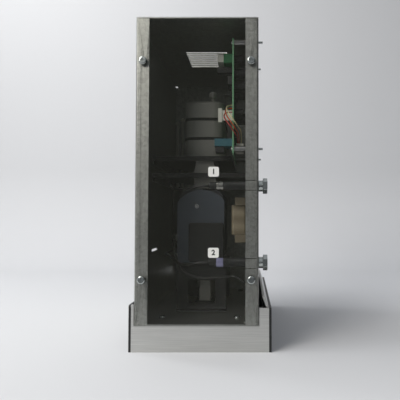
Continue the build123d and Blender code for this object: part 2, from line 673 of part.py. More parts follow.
def make_motor():
    y1 = HEAD_Y1
    can = rod_y(MOTOR_R, MOTOR_X, y1 - MOTOR_L, y1, MOTOR_Z)
    can = fillet(can.edges().filter_by(GeomType.CIRCLE).group_by(Axis.Y)[0], 2.0)
    can += rod_y(MOTOR_BOSS_R, MOTOR_X, y1 - MOTOR_L - 3.0, y1 - MOTOR_L, MOTOR_Z)
    can += rod_y(MOTOR_BOSS_R + 0.4, MOTOR_X, y1, BACK_Y1, MOTOR_Z)
    return can - rod_y(MOTOR_SHAFT_R + RUNNING, MOTOR_X, y1 - 20.0, BACK_Y1 + 1, MOTOR_Z)


def make_motor_pulley():
    y0, y1 = FIRST_BELT_Y
    shaft = rod_y(MOTOR_SHAFT_R, MOTOR_X, HEAD_Y1 - 19.0, y1 + 1.5, MOTOR_Z)
    pulley = rod_y(MOTOR_PULLEY_R, MOTOR_X, y0 - 0.6, y1 + 0.6, MOTOR_Z)
    for edge in (y0 - 1.3, y1 + 0.6):
        pulley += rod_y(MOTOR_PULLEY_R + 1.2, MOTOR_X, edge, edge + 0.7, MOTOR_Z)
    return shaft + pulley


nodes["head_frame"] = make_head_frame()
nodes["head_door"] = make_head_door()
nodes["head_cover"] = make_head_cover()
nodes["head_lower_panel"] = make_lower_panel()
nodes["head_back_plate"] = make_back_plate()
nodes["door_pin"] = rod_y(AXLE_R, DOOR_PIN_X, COVER_Y0, BACK_Y1, DOOR_PIN_Z)
nodes["lower_drive_shaft"] = make_drive_shaft(
    LOWER_ROLL_Z, [(BIG_PULLEY_R, FIRST_BELT_Y), (PULLEY_R, SECOND_BELT_Y)])
nodes["upper_drive_shaft"] = make_drive_shaft(UPPER_ROLL_Z, [(PULLEY_R, SECOND_BELT_Y)])
nodes["lower_drive_rollers"] = make_rollers(DRIVE_X, LOWER_ROLL_Z, DRIVE_R, SHAFT_R)
nodes["upper_drive_rollers"] = make_rollers(DRIVE_X, UPPER_ROLL_Z, DRIVE_R, SHAFT_R)
nodes["lower_idler_rollers"] = make_rollers(IDLER_X, LOWER_ROLL_Z, IDLER_R, AXLE_R + RUNNING)
nodes["upper_idler_rollers"] = make_rollers(IDLER_X, UPPER_ROLL_Z, IDLER_R, AXLE_R + RUNNING)
nodes["idler_axles"] = group(
    rod_y(AXLE_R, IDLER_X, HEAD_Y0 + AXLE_INSET, HEAD_Y1 - AXLE_INSET, z)
    for z in (LOWER_ROLL_Z, UPPER_ROLL_Z))
nodes["transport_motor"] = make_motor()
nodes["motor_pulley"] = make_motor_pulley()
nodes["drive_belts"] = group([
    belt_loop((MOTOR_X, MOTOR_Z), MOTOR_PULLEY_R, (DRIVE_X, LOWER_ROLL_Z), BIG_PULLEY_R, FIRST_BELT_Y),
    belt_loop((DRIVE_X, LOWER_ROLL_Z), PULLEY_R, (DRIVE_X, UPPER_ROLL_Z), PULLEY_R, SECOND_BELT_Y),
])
nodes["scan_lens"] = block(
    -PATH_HALF - LENS_DEPTH, -PATH_HALF, -NOTE_W / 2, NOTE_W / 2, *LENS_Z)

# ---- shelves, chute and note box ----------------------------------------------------
CHUTE_Z0 = HEAD_Z1 + 1.0
CHUTE_X = 16.0
CHUTE_NECK_X = 12.5
CHUTE_Y = 52.0
COLLAR_X = 14.0
COLLAR_H = 7.0
SHELF_LIP = 10.0
UPPER_SHELF_X1 = 38.0
ROD_R = 2.5
ROD_SPOTS = ((-66.0, 131.0), (-57.0, 131.0))
ROD_TOP_Z = 342.0
KNOB_X = 10.0
KNOB_Y = -34.0
KNOB_R = 5.8
STEM_R = 3.0
BOX_FRONT_R = 16.0
BOX_BACK_R = 5.0
BOX_TOP_R = 4.0
BAND_ZS = (276.0, 304.0)
BAND_HALF = 2.0
BAND_DEPTH = 0.8
BAND_PROUD = 0.6
PLATE_X = -6.0
PLATE_RIB_YS = (-18.0, 8.0, 34.0)
SPRING_Y = 8.0
SPRING_Z = 288.0
SPRING_WIRE_R = 0.7
SPRING_R = 5.0
SPRING_TURNS = 5
SPRING_L = 18.4


def make_shelf(z, x1, chute_half):
    """Sheet shelf welded to the left wall, with a turned-down front edge."""
    y1 = INNER_Y - SHEET - 0.5
    shelf = block(-INNER_X, x1, SHELF_Y0, y1, z, z + SHEET)
    shelf += block(-INNER_X, x1, SHELF_Y0, SHELF_Y0 + SHEET, z - 5.0, z + SHEET)
    shelf += block(-INNER_X, -INNER_X + SHEET, SHELF_Y0, y1, z - SHELF_LIP, z + SHEET)
    shelf -= block(-chute_half, chute_half, -CHUTE_Y - 0.5, CHUTE_Y + 0.5, z - 1, z + SHEET + 1)
    for x, y in ROD_SPOTS:
        shelf -= rod_z(ROD_R, x, y, z - 1, z + SHEET + 1)
    return shelf


def make_chute():
    """Flared duct between the head and the note box, with a thicker collar at its top."""
    top = UPPER_SHELF_Z + SHEET
    bend_z = LOWER_SHELF_Z + SHEET + 2
    collar_z = top - COLLAR_H
    right = [(CHUTE_X, CHUTE_Z0), (CHUTE_X, bend_z), (CHUTE_NECK_X, collar_z),
             (COLLAR_X, collar_z), (COLLAR_X, top)]
    left = [(-x, z) for x, z in reversed(right)]
    chute = prism_y(right + left, -CHUTE_Y, CHUTE_Y)
    half = NOTE_GAP / 2
    chute -= block(-half, half, -NOTE_W / 2, NOTE_W / 2, CHUTE_Z0 - 1, top + 1)
    for side in (-1, 1):
        chute -= block(side * 9.0 - 3.0, side * 9.0 + 3.0, -46.0, 46.0, CHUTE_Z0 - 1, top - 10)
    return chute


def make_note_box():
    z0 = UPPER_SHELF_Z + SHEET
    outer = block(BOX_X0, BOX_X1, BOX_Y0, BOX_Y1, z0, BOX_Z1)
    outer = fillet(upright_edges(outer, y=BOX_Y0), BOX_FRONT_R)
    outer = fillet(upright_edges(outer, y=BOX_Y1), BOX_BACK_R)
    outer = fillet(outer.edges().group_by(Axis.Z)[-1], BOX_TOP_R)
    inner = block(BOX_X0 + BOX_T, BOX_X1 - BOX_T, BOX_Y0 + BOX_T, BOX_Y1 - BOX_T,
                  z0 + BOX_T, BOX_Z1 - BOX_T)
    inner = fillet(upright_edges(inner, y=BOX_Y0 + BOX_T), BOX_FRONT_R - BOX_T)
    box = outer - inner
    half = NOTE_GAP / 2
    box -= block(-half, half, -NOTE_W / 2, NOTE_W / 2, z0 - 1, z0 + BOX_T + 1)
    for z in BAND_ZS:
        groove = block(BOX_X0 - 1, BOX_X1 + 1, BOX_Y0 - 1, BOX_Y1 + 1,
                       z - BAND_HALF, z + BAND_HALF)
        box -= groove & band_ring(z, BOX_T, 0.0)
    return box - rod_z(STEM_R + RUNNING, KNOB_X, KNOB_Y, BOX_Z1 - BOX_T - 1, BOX_Z1 + 1)


def band_ring(z, extra, proud):
    """Ring that follows the wall of the note box, partly sunk in it and a little proud."""
    depth = BAND_DEPTH
    ring = block(BOX_X0 - proud, BOX_X1 + proud, BOX_Y0 - proud, BOX_Y1 + proud,
                 z - BAND_HALF, z + BAND_HALF)
    ring = fillet(upright_edges(ring, y=BOX_Y0 - proud), BOX_FRONT_R + proud)
    ring = fillet(upright_edges(ring, y=BOX_Y1 + proud), BOX_BACK_R + proud)
    core = block(BOX_X0 + depth, BOX_X1 - depth, BOX_Y0 + depth, BOX_Y1 - depth,
                 z - BAND_HALF - extra, z + BAND_HALF + extra)
    core = fillet(upright_edges(core, y=BOX_Y0 + depth), BOX_FRONT_R - depth)
    core = fillet(upright_edges(core, y=BOX_Y1 - depth), BOX_BACK_R - depth)
    return ring - core


def make_pressure_plate():
    """Plate that the notes stack against; it moves back as the box fills."""
    z0 = UPPER_SHELF_Z + SHEET + BOX_T
    plate = block(PLATE_X, PLATE_X + 2.0, -35.0, 52.0, z0 + 4, BOX_Z1 - BOX_T - 4)
    for y in PLATE_RIB_YS:
        plate -= block(PLATE_X - 1, PLATE_X + 0.8, y - 9.0, y + 9.0, z0 + 10, BOX_Z1 - BOX_T - 10)
    boss = rod_x(SPRING_R - 2.0, PLATE_X - 2.0, PLATE_X + 1.0, SPRING_Y, SPRING_Z)
    return plate + boss


def make_coil(wire_r, coil_r, turns, length):
    """Round-wire compression spring up +Z."""
    pitch = length / turns
    path = Helix(pitch, length, coil_r)
    section = Plane(origin=path @ 0, z_dir=path % 0) * Circle(wire_r)
    return sweep(section, path=path)


def make_knob():
    """Round release knob on a stem through the top of the note box."""
    ball = Pos(KNOB_X, KNOB_Y, BOX_Z1 + 12.0) * Sphere(KNOB_R)
    stem = rod_z(STEM_R, KNOB_X, KNOB_Y, BOX_Z1 - 12.0, BOX_Z1 + 8.0)
    catch = rod_z(STEM_R + 1.5, KNOB_X, KNOB_Y, BOX_Z1 - 14.0, BOX_Z1 - 12.0)
    return ball + stem + catch


def make_stay_rods():
    """Two threaded rods at the back corner, each with a nut above the top shelf."""
    solids = []
    for i, (x, y) in enumerate(ROD_SPOTS):
        top = ROD_TOP_Z - 6.0 * (1 - i)
        rod = rod_z(ROD_R, x, y, LOWER_SHELF_Z - 6.0, top)
        for z in (LOWER_SHELF_Z + SHEET, UPPER_SHELF_Z + SHEET, top - 6):
            rod += Pos(x, y, z) * hexagon(8.0, 4.0)
        solids.append(rod)
    return group(solids)


nodes["shelves"] = group([
    make_shelf(LOWER_SHELF_Z, INNER_X - 1.0, CHUTE_X + 1.0),
    make_shelf(UPPER_SHELF_Z, UPPER_SHELF_X1, COLLAR_X + 1.0),
])
nodes["note_chute"] = make_chute()
nodes["note_box"] = make_note_box()
nodes["box_bands"] = group(band_ring(z, 1.0, BAND_PROUD) for z in BAND_ZS)
nodes["pressure_plate"] = make_pressure_plate()
nodes["pressure_spring"] = (
    Pos(BOX_X0 + BOX_T + 0.9, SPRING_Y, SPRING_Z) * Rot(0, 90, 0)
    * make_coil(SPRING_WIRE_R, SPRING_R, SPRING_TURNS, SPRING_L))
nodes["release_knob"] = make_knob()
nodes["stay_rods"] = make_stay_rods()

# ---- electronics on the right side panel --------------------------------------------
STANDOFF_R = 4.0
PCB_OUT_X = PCB_X + PCB_T
# Each box on the inner face: how far it stands off the board, then its Y and Z ends.
INNER_PARTS = (
    (0.0, 22.0, (-90.0, -80.0), (360.5, 368.0)),
    (12.0, 24.0, (-96.0, -76.0), (250.5, 258.0)),
    (0.0, 3.0, (-96.0, -60.0), (325.0, 345.0)),
    (0.0, 3.0, (-60.0, -30.0), (285.0, 300.0)),
    (0.0, 12.0, (-112.0, -96.0), (323.7, 325.0)),
    (0.0, 6.0, (-124.0, -112.0), (335.0, 346.0)),
    (0.0, 9.0, (-50.0, -30.0), (350.0, 364.0)),
)
# Round capacitors on the outer face: Y, Z, radius and height.
CAPACITORS = (
    (-112.0, 335.0, 6.0, 16.0),
    (-112.0, 352.0, 6.0, 16.0),
    (-92.0, 330.0, 8.0, 20.0),
    (-112.0, 300.0, 5.0, 12.0),
    (-70.0, 300.0, 8.0, 22.0),
    (-112.0, 372.0, 5.0, 12.0),
)
CHIPS = ((-108.0, 275.0), (-70.0, 268.0), (-50.0, 335.0))
TERMINAL_Y = (-100.0, -70.0)
TERMINAL_Z = (371.0, 383.0)
TERMINAL_WAYS = 6
TERMINAL_FIRST = 2.8
TERMINAL_PITCH = 5.0
CHIP_H = 3.2
CHIP_HALF_Y = 8.0
CHIP_HALF_Z = 5.0


def make_pcb():
    board = block(PCB_X, PCB_OUT_X, PCB_Y0, PCB_Y1, PCB_Z0, PCB_Z1)
    board = fillet(board.edges().filter_by(Axis.X), 2.0)
    for y in PCB_SCREW_YS:
        for z in PCB_SCREW_ZS:
            board -= rod_x(1.5, PCB_X - 1, PCB_OUT_X + 1, y, z)
    return board


def board_fixings():
    """Spacer tubes between board and panel, and the long screws through them."""
    tubes = []
    screws = []
    reach = HALF_W + 6.0 - PCB_X
    for y in PCB_SCREW_YS:
        for z in PCB_SCREW_ZS:
            tube = rod_x(STANDOFF_R, PCB_OUT_X, INNER_X, y, z)
            tubes.append(tube - rod_x(1.5, PCB_OUT_X - 1, INNER_X + 1, y, z))
            screw = pan_screw(1.5, reach, 2.8, 2.2)
            screws.append(aim(screw, (PCB_X, y, z), (-1, 0, 0)))
    return group(tubes), group(screws)


def make_terminal_block():
    """Green terminal row near the top of the board."""
    z0, z1 = TERMINAL_Z
    base = block(PCB_X - 13, PCB_X, *TERMINAL_Y, z0, z1)
    for i in range(TERMINAL_WAYS):
        y = TERMINAL_Y[0] + TERMINAL_FIRST + i * TERMINAL_PITCH
        base -= block(PCB_X - 14, PCB_X - 9, y - 1.3, y + 1.3, z0 + 2.5, z0 + 6.5)
        base -= rod_z(1.4, PCB_X - 5, y, z1 - 3.0, z1 + 1.0)
    return base


def white_headers():
    """White wire-to-board housings: two on the inner face and one on the outer face."""
    tall = block(PCB_X - 21, PCB_X - 15.5, -88.0, -82.0, 292.6, 311.7)
    tall += block(PCB_X - 15.5, PCB_X, -87.0, -83.0, 295.0, 309.0)
    upper = block(PCB_X - 21, PCB_X - 13, -99.0, -71.0, 372.0, 382.5)
    side = block(PCB_OUT_X + 3.0, PCB_OUT_X + 12.5, -116.0, -100.0, 247.0, 259.0)
    side += block(PCB_OUT_X, PCB_OUT_X + 3.0, -114.0, -102.0, 249.0, 257.0)
    return group([tall, upper, side])


def make_relay():
    case = block(PCB_X - 25, PCB_X, -98.0, -72.0, 258.0, 268.5)
    return fillet(case.edges().filter_by(Axis.X), 0.8)


def board_parts():
    """Chips, capacitors, the grey ribbon header and the choke soldered to the board."""
    solids = []
    for near, far, ys, zs in INNER_PARTS:
        solids.append(block(PCB_X - far, PCB_X - near, *ys, *zs))
    for y, z, r, height in CAPACITORS:
        can = rod_x(r, PCB_OUT_X, PCB_OUT_X + height, y, z)
        solids.append(fillet(can.edges().filter_by(GeomType.CIRCLE).group_by(Axis.X)[-1], 0.8))
    for y, z in CHIPS:
        solids.append(block(PCB_OUT_X, PCB_OUT_X + CHIP_H, y - CHIP_HALF_Y, y + CHIP_HALF_Y,
                            z - CHIP_HALF_Z, z + CHIP_HALF_Z))
    return group(solids)


def make_transformer():
    """Laminated mains transformer with its tape-wrapped winding."""
    core = block(45.0, INNER_X, -122.0, -84.0, 130.0, 188.0)
    core -= block(44.0, 60.0, -123.0, -83.0, 140.0, 178.0)
    winding = block(40.6, 60.0, -118.0, -88.0, 140.0, 178.0)
    winding = fillet(winding.edges().filter_by(Axis.Z), 4.0)
    return group([core, winding])


nodes["pcb"] = make_pcb()
nodes["pcb_standoffs"], nodes["pcb_screws"] = board_fixings()
nodes["terminal_block"] = make_terminal_block()
nodes["white_headers"] = white_headers()
nodes["relay"] = make_relay()
nodes["board_parts"] = board_parts()
nodes["transformer"] = make_transformer()

# ---- side sensors -------------------------------------------------------------------
SENSOR_OUT = HALF_W + 11.0
SENSOR_IN = INNER_X - 42.0
RING_L = 8.5
PLUG_L = 10.0


def sensors():
    """Two M12 proximity switches through the side panel, their nuts, and the lead plugs."""
    barrels = []
    plugs = []
    nuts = []
    for z in SENSOR_ZS:
        barrels.append(rod_x(SENSOR_R, SENSOR_IN, SENSOR_OUT - 1.0, SENSOR_Y, z))
        barrels.append(rod_x(SENSOR_R - 0.3, SENSOR_IN - RING_L, SENSOR_IN, SENSOR_Y, z))
        plug = rod_x(5.0, SENSOR_IN - RING_L - PLUG_L, SENSOR_IN - RING_L, SENSOR_Y, z)
        plugs.append(fillet(plug.edges().filter_by(GeomType.CIRCLE).group_by(Axis.X)[0], 2.0))
        collar = rod_x(7.0, HALF_W, HALF_W + 5.5, SENSOR_Y, z)
        bore = rod_x(SENSOR_R, HALF_W - 1, SENSOR_OUT + 1, SENSOR_Y, z)
        nuts.append(collar - bore)
        nut = aim(hexagon(17.0, 5.5), (HALF_W + 5.5, SENSOR_Y, z), (1, 0, 0))
        nuts.append(nut - bore)
    plugs.append(block(58.0, INNER_X, -126.0, -112.0, FLOOR_Z + SHEET, 50.0))
    return group(barrels), group(plugs), group(nuts)


nodes["side_sensors"], nodes["lead_plugs"], nodes["sensor_nuts"] = sensors()

# ---- wiring -------------------------------------------------------------------------
WIRE_R = 0.8
CABLE_R = 1.6


def routed(points, radius, share=0.45):
    """Tube along straight runs joined by tangent arcs, each as large as its runs allow."""
    spots = [Vector(*p) for p in points]
    radii = []
    for i in range(1, len(spots) - 1):
        before = spots[i] - spots[i - 1]
        after = spots[i + 1] - spots[i]
        turn = math.radians(before.get_angle(after))
        radii.append(share * min(before.length, after.length) / math.tan(turn / 2))
    path = FilletPolyline(*spots, radius=radii)
    section = Plane(origin=path @ 0, z_dir=path % 0) * Circle(radius)
    tube = sweep(section, path=path, transition=Transition.RIGHT)
    expected = math.pi * radius ** 2 * path.length
    print("cord length", round(path.length, 1), "volume ratio", round(tube.volume / expected, 4),
          "radii", [round(r, 1) for r in radii])
    return tube


PLUG_X = SENSOR_IN - RING_L - PLUG_L
SIGNAL_ROUTES = (
    [(50.0, -108.0, 259.0), (50.0, -108.0, 265.0), (50.0, -122.0, 271.0), (47.0, -134.5, 274.0),
     (41.5, -138.5, 281.5), (35.5, -134.0, 290.5), (32.0, -122.0, 300.0), (34.5, -110.0, 306.5),
     (41.9, -110.0, 306.5)],
    [(52.8, -104.0, 259.0), (52.8, -104.0, 266.0), (53.0, -121.0, 275.0), (49.0, -135.0, 278.5),
     (42.5, -139.5, 287.0), (36.5, -134.0, 296.0), (33.5, -121.0, 304.5), (35.5, -106.0, 311.5),
     (41.9, -106.0, 311.5)],
    [(48.2, -113.0, 259.0), (48.2, -113.0, 263.5), (47.6, -124.5, 267.5), (44.8, -134.5, 270.5),
     (39.5, -137.0, 278.0), (33.5, -132.5, 286.5), (30.0, -122.0, 294.5), (33.5, -112.5, 301.0),
     (41.9, -112.5, 301.0)],
)
LEAD_ROUTES = (
    [(PLUG_X, SENSOR_Y, SENSOR_ZS[1]), (3.0, SENSOR_Y, SENSOR_ZS[1]), (-6.0, -142.0, 200.0),
     (-15.0, -133.0, 198.6), (-22.0, -121.0, 198.0), (-30.0, -110.0, 199.6),
     (-39.0, -99.0, 203.5), (-44.0, -84.0, 207.0), (-46.5, -62.0, 208.5), (-49.0, -32.0, 209.0),
     (-53.0, 8.0, 208.4), (-58.0, 48.0, 209.0), (-61.0, 84.0, 211.0), (-61.5, 112.0, 214.0),
     (-61.5, 129.0, 217.0), (-61.5, 141.0, 214.0), (-61.5, 147.0, 204.0), (-61.5, 147.0, 192.0)],
    [(PLUG_X, SENSOR_Y, SENSOR_ZS[0]), (3.0, SENSOR_Y, SENSOR_ZS[0]), (-6.0, -142.6, 104.4),
     (-15.0, -135.0, 102.6), (-24.0, -124.0, 102.4), (-32.0, -111.0, 104.4),
     (-39.0, -96.0, 108.0), (-45.0, -78.0, 110.0), (-52.0, -54.0, 109.6), (-60.0, -24.0, 108.0),
     (-65.5, 14.0, 107.0), (-66.5, 58.0, 107.6), (-66.0, 96.0, 107.0), (-64.6, 122.0, 107.6),
     (-64.2, 137.0, 110.5), (-64.2, 144.0, 119.0), (-64.2, 144.0, 132.0)],
    [(-46.0, 21.0, MOTOR_Z), (-46.0, 8.0, MOTOR_Z), (-45.6, -12.0, 118.4), (-44.0, -34.0, 125.0),
     (-42.6, -56.0, 130.0), (-41.0, -75.0, 127.0), (-37.5, -90.0, 117.0), (-32.0, -97.0, 103.0),
     (-25.0, -99.5, 91.0), (-14.0, -100.5, 84.4), (0.0, -101.5, 81.8), (15.0, -104.0, 82.4),
     (30.0, -110.0, 84.6), (43.0, -117.0, 86.4), (54.0, -121.6, 83.0), (61.0, -122.0, 74.0),
     (64.6, -119.0, 62.0), (64.6, -119.0, 50.0)],
)


def signal_wires():
    """Three insulated wires from the outer connector round the front of the board."""
    return group(routed(route, WIRE_R) for route in SIGNAL_ROUTES)


def black_leads():
    """The two sensor leads and the motor lead, in black jackets."""
    return group(routed(route, CABLE_R) for route in LEAD_ROUTES)


def make_cable_duct():
    """Open black trunking in the back left corner."""
    x0 = -INNER_X + 0.1
    x1 = x0 + 18.0
    y1 = INNER_Y - 0.9
    duct = block(x0, x1, y1 - 34.0, y1, 118.0, 213.0)
    return duct - block(x0 + 1.2, x1 - 1.2, y1 - 32.8, y1 - 1.2, 117.0, 214.0)


nodes["signal_wires"] = signal_wires()
nodes["black_leads"] = black_leads()
nodes["cable_duct"] = make_cable_duct()

os.makedirs("parts", exist_ok=True)
for name, shape in nodes.items():
    export_step(shape, "parts/" + name + ".step")
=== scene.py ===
import json
import math

import bmesh
import bpy
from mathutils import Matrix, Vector


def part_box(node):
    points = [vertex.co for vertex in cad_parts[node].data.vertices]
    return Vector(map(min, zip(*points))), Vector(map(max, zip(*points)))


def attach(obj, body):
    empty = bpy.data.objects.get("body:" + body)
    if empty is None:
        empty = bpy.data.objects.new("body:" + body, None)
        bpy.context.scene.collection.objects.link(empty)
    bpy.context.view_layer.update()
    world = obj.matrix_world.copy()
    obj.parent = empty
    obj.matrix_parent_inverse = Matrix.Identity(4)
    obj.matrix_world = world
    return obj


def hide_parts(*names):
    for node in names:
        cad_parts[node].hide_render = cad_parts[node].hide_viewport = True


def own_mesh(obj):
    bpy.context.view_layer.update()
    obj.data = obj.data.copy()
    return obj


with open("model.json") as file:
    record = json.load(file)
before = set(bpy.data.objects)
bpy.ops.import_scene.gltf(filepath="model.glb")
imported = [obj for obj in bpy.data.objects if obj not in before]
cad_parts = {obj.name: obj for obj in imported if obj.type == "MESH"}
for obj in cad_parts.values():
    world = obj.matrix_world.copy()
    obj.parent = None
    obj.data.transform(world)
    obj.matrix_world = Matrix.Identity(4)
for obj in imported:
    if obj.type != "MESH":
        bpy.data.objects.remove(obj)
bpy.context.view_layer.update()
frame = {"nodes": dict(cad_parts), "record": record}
nodes = frame["nodes"]
record = frame["record"]
body_of = {n: body for body, names in record["behaviour"]["bodies"].items() for n in names}
slot_of = {part["node"]: part["material_slot"] for part in record["subparts"]}

MM = 0.001
# CAD points closer than this are one point.
WELD = 0.001 * MM
# Edges that turn more than this are real edges; flatter ones are shaded smooth.
SHARP = math.radians(32)
WIRE_RADIUS_MM = 0.8


# ---- materials ----------------------------------------------------------------------
def linear(hex_colour):
    """sRGB hex string to a linear RGBA tuple."""
    channels = [int(hex_colour[i:i + 2], 16) / 255 for i in (1, 3, 5)]
    curve = [c / 12.92 if c <= 0.04045 else ((c + 0.055) / 1.055) ** 2.4 for c in channels]
    return (*curve, 1.0)


def per_metre(size_mm):
    """Texture scale that repeats a pattern every size_mm millimetres."""
    return 1 / (size_mm * MM)


def add(tree, kind, settings=None, links=None):
    """Adds one shader node, sets its properties or sockets, and links its inputs."""
    node = tree.nodes.new(kind)
    for key, value in (settings or {}).items():
        if isinstance(key, str) and hasattr(node, key):
            setattr(node, key, value)
        else:
            node.inputs[key].default_value = value
    for key, socket in (links or {}).items():
        tree.links.new(socket, node.inputs[key])
    return node


def new_material(name, colour, metallic, roughness, ior=None):
    """Material with one Principled shader. Metals leave the IOR alone."""
    material = bpy.data.materials.new(name)
    material.use_nodes = True
    material.diffuse_color = linear(colour)
    shader = material.node_tree.nodes["Principled BSDF"]
    shader.inputs["Base Color"].default_value = linear(colour)
    shader.inputs["Metallic"].default_value = metallic
    shader.inputs["Roughness"].default_value = roughness
    if ior:
        shader.inputs["IOR"].default_value = ior
    return material, material.node_tree, shader


def place(tree, stretch=(1, 1, 1)):
    """Object coordinates in metres, stretched for a directional grain."""
    where = add(tree, "ShaderNodeTexCoord")
    return add(tree, "ShaderNodeMapping", {"Scale": stretch}, {"Vector": where.outputs["Object"]})


def spread(tree, factor, low, high):
    """Maps a 0 to 1 pattern to the range low to high."""
    return add(tree, "ShaderNodeMapRange", {"To Min": low, "To Max": high}, {"Value": factor})


def two_tone(tree, factor, first, second):
    """Colour that goes from first to second with the pattern."""
    mix = add(tree, "ShaderNodeMix", {"data_type": "RGBA"})
    mix.inputs[6].default_value = linear(first)
    mix.inputs[7].default_value = linear(second)
    tree.links.new(factor, mix.inputs[0])
    return mix.outputs[2]


def relief(tree, shader, height, depth_mm):
    """Bump of a real depth on the shader."""
    bump = add(tree, "ShaderNodeBump", {"Distance": depth_mm * MM}, {"Height": height})
    tree.links.new(bump.outputs["Normal"], shader.inputs["Normal"])


def galvanised_steel():
    """Hot-dip zinc on folded sheet: pale grey, fine upright rolling streaks, faint small flakes."""
    material, tree, shader = new_material("galvanised_sheet", "#b4b6b1", 1.0, 0.42)
    flakes = add(tree, "ShaderNodeTexVoronoi", {"Scale": per_metre(3)},
                 {"Vector": place(tree).outputs[0]})
    grey = add(tree, "ShaderNodeSeparateColor", {}, {"Color": flakes.outputs["Color"]})
    streaks = add(tree, "ShaderNodeTexNoise", {"Scale": per_metre(1.4), "Detail": 5.0},
                  {"Vector": place(tree, (1.0, 1.0, 0.06)).outputs[0]})
    both = add(tree, "ShaderNodeMix", {"data_type": "FLOAT", 0: 0.3},
               {2: streaks.outputs["Fac"], 3: grey.outputs["Red"]})
    tree.links.new(two_tone(tree, both.outputs[0], "#81837e", "#c2c3bd"),
                   shader.inputs["Base Color"])
    gloss = spread(tree, both.outputs[0], 0.36, 0.48)
    tree.links.new(gloss.outputs[0], shader.inputs["Roughness"])
    relief(tree, shader, streaks.outputs["Fac"], 0.012)
    return material


def brushed_stainless():
    """Stainless sheet with a long horizontal brush grain, drawn 0.7 mm wide so that it shows."""
    material, tree, shader = new_material("brushed_stainless", "#c9c9c6", 1.0, 0.36)
    where = place(tree, (0.02, 0.02, 1.0))
    grain = add(tree, "ShaderNodeTexNoise", {"Scale": per_metre(0.7), "Detail": 4.0},
                {"Vector": where.outputs[0]})
    tree.links.new(two_tone(tree, grain.outputs["Fac"], "#b2b2af", "#dcdcd8"),
                   shader.inputs["Base Color"])
    gloss = spread(tree, grain.outputs["Fac"], 0.30, 0.46)
    tree.links.new(gloss.outputs[0], shader.inputs["Roughness"])
    relief(tree, shader, grain.outputs["Fac"], 0.01)
    return material


def mottled(name, colour, darker, metallic, roughness, grit_mm, depth_mm, ior=None):
    """A moulded, painted, cast or turned surface with a fine even texture."""
    material, tree, shader = new_material(name, colour, metallic, roughness, ior)
    where = place(tree)
    grit = add(tree, "ShaderNodeTexNoise", {"Scale": per_metre(grit_mm), "Detail": 4.0},
               {"Vector": where.outputs[0]})
    tree.links.new(two_tone(tree, grit.outputs["Fac"], darker, colour), shader.inputs["Base Color"])
    gloss = spread(tree, grit.outputs["Fac"], roughness * 0.85, roughness * 1.15)
    tree.links.new(gloss.outputs[0], shader.inputs["Roughness"])
    relief(tree, shader, grit.outputs["Fac"], depth_mm)
    return material


def clear_acrylic():
    """Cast acrylic sheet, faintly smoked: lets most light through and mirrors a little. Its grey alpha
    layer is the smoke tint and also a painted reflection, an even pale veil over the window.
    """
    material, tree, shader = new_material("smoked_acrylic_painted_veil", "#484942", 0.0, 0.03, 1.49)
    # Grey alpha layer: the smoke tint plus a painted reflection veil over the window.
    shader.inputs["Alpha"].default_value = 0.12
    return material


def clear_lens():
    """Polished clear lens over the scanner: near colourless, with a sharp gloss."""
    material, tree, shader = new_material("polycarbonate_lens", "#aebcbc", 0.0, 0.05, 1.58)
    shader.inputs["Alpha"].default_value = 0.4
    return material


def circuit_board():
    """Glass-fibre board: green solder resist on both faces, pale raw edge, faint tracks."""
    material, tree, shader = new_material("green_circuit_board", "#1d5c36", 0.0, 0.3, 1.5)
    where = add(tree, "ShaderNodeTexCoord")
    facing = add(tree, "ShaderNodeSeparateXYZ", {}, {"Vector": where.outputs["Normal"]})
    across = add(tree, "ShaderNodeMath", {"operation": "ABSOLUTE"}, {0: facing.outputs["X"]})
    face = add(tree, "ShaderNodeMath", {"operation": "GREATER_THAN", 1: 0.5},
               {0: across.outputs[0]})
    square = add(tree, "ShaderNodeMapping", {"Scale": (0, 1, 1)}, {"Vector": where.outputs["Object"]})
    tracks = add(tree, "ShaderNodeTexBrick",
                 {"Scale": per_metre(6), "Mortar Size": 0.04, "Color1": linear("#1c5a34"),
                  "Color2": linear("#216640"), "Mortar": linear("#3d8a58")},
                 {"Vector": square.outputs[0]})
    mix = add(tree, "ShaderNodeMix", {"data_type": "RGBA"}, {0: face.outputs[0]})
    mix.inputs[6].default_value = linear("#7fb98c")
    tree.links.new(tracks.outputs["Color"], mix.inputs[7])
    tree.links.new(mix.outputs[2], shader.inputs["Base Color"])
    return material


def wound_tape():
    """Yellowish polyester tape wound round the coil: soft gloss and faint overlap lines."""
    material, tree, shader = new_material("winding_tape", "#877c65", 0.0, 0.38, 1.5)
    where = place(tree)
    wraps = add(tree, "ShaderNodeTexWave", {"bands_direction": "Z", "Scale": per_metre(9) / math.tau,
                                           "Distortion": 0.6}, {"Vector": where.outputs[0]})
    tree.links.new(two_tone(tree, wraps.outputs["Fac"], "#776d57", "#918670"),
                   shader.inputs["Base Color"])
    relief(tree, shader, wraps.outputs["Fac"], 0.05)
    return material


def laminated_core():
    """Stack of lacquered iron sheets: thin dark lines, drawn 1.2 mm apart so that they show."""
    material, tree, shader = new_material("laminated_core", "#8d8370", 0.6, 0.5)
    where = place(tree)
    sheets = add(tree, "ShaderNodeTexWave", {"bands_direction": "Y",
                                            "Scale": per_metre(1.2) / math.tau},
                 {"Vector": where.outputs[0]})
    tree.links.new(two_tone(tree, sheets.outputs["Fac"], "#4b4539", "#857b67"),
                   shader.inputs["Base Color"])
    relief(tree, shader, sheets.outputs["Fac"], 0.08)
    return material


